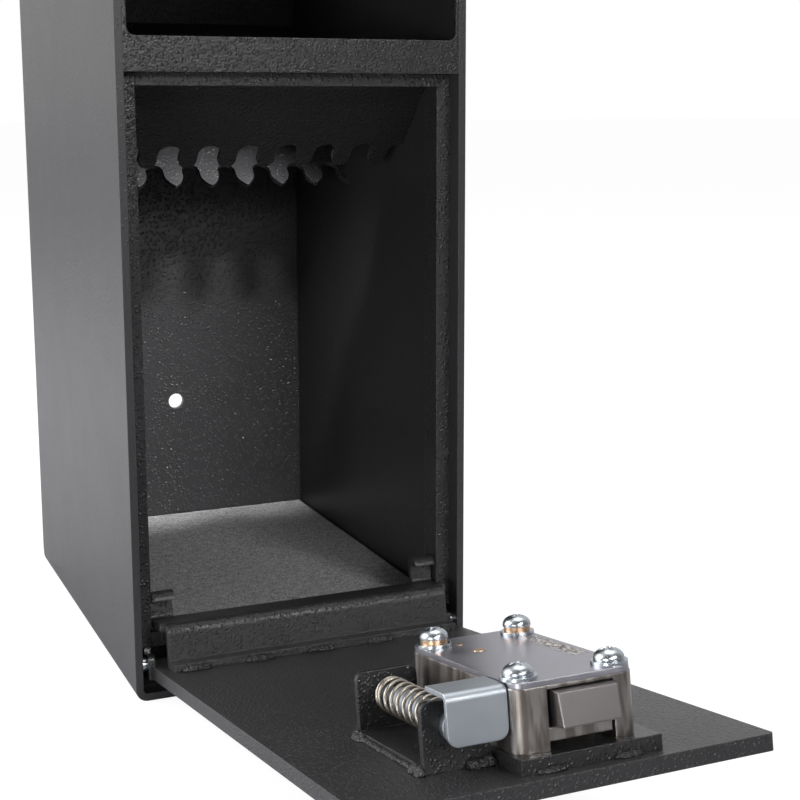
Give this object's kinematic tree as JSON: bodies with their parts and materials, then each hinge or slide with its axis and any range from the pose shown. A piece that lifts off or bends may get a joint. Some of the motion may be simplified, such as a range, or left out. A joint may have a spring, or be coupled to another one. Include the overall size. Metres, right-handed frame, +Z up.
{
  "type": "drop safe",
  "caption": "Narrow under-counter drop safe: open deposit mouth with toothed baffles above a compartment, bottom-hinged door with key lock, hooked pry bar and spring plunger.",
  "frame": {"origin": "middle of the base's underside", "axes": "+Z up, -Y out of the front, +X to the right seen from the front"},
  "size_m": [0.1524, 0.4528, 0.3302],
  "materials": {
    "black_coat": "textured semi-gloss powder coat",
    "weld_coat": "gloss over rough weld",
    "grey_felt": "heathered felt",
    "nickel_case": "nickel plate on a casting",
    "cast_bolt": "plain sintered metal",
    "zinc_steel": "clear zinc plate",
    "bright_steel": "bright zinc plate",
    "copper_wash": "copper-toned plate",
    "spring_wire": "pale drawn wire",
    "yellow_brass": "turned brass"
  },
  "bodies": {
    "cabinet": {"body_wrap": "black_coat", "back_panel": "black_coat", "front_panel": "black_coat", "chute_plate": "black_coat", "rear_baffle": "black_coat", "jamb_left": "black_coat", "jamb_right": "black_coat", "head_stop": "black_coat", "sill_rail": "black_coat", "floor_pan": "black_coat", "floor_mat": "grey_felt", "hinge_pins": "bright_steel"},
    "door": {"door_plate": "black_coat", "hinge_ears": "black_coat", "pry_bar": "black_coat", "pry_bar_welds": "weld_coat", "lock_riser": "black_coat", "riser_welds": "weld_coat", "bracket": "black_coat", "bracket_welds": "weld_coat", "relock_spring": "spring_wire", "lock_case": "nickel_case", "lock_cover": "nickel_case", "cover_rivets": "copper_wash", "lock_screws": "bright_steel", "split_washers": "copper_wash", "flat_washers": "bright_steel", "cylinder_shell": "nickel_case"},
    "key_drive": {"key_plug": "yellow_brass", "drive_cam": "nickel_case"},
    "bolt": {"lock_bolt": "cast_bolt"},
    "plunger": {"relock_pin": "zinc_steel", "relock_collar": "zinc_steel", "relock_plate": "zinc_steel"}
  },
  "joints": [
    {"name": "door_hinge", "type": "hinge", "parent": "cabinet", "child": "door", "pos_m": [0, -0.10195, 0.014], "axis": [-1, 0, 0], "range_deg": [0, 80.03]},
    {"name": "key_turn", "type": "hinge", "parent": "door", "child": "key_drive", "pos_m": [0.0075, -0.2933, 0.04713], "axis": [0, -0.1731, -0.9849], "range_deg": [0, 90]},
    {"name": "bolt_slide", "type": "slide", "parent": "door", "child": "bolt", "axis": [0, -0.9849, 0.1731], "range_m": [0, 0.007]},
    {"name": "plunger_slide", "type": "slide", "parent": "door", "child": "plunger", "axis": [0, -0.9849, 0.1731], "range_m": [-0.008, 0], "stiffness_N_per_m": 300, "springref_m": 0.012, "deforming": ["relock_spring"]}
  ],
  "couplings": [
    {"joint": "key_turn", "follows": "bolt_slide", "rad_per_m": 224.4}
  ]
}
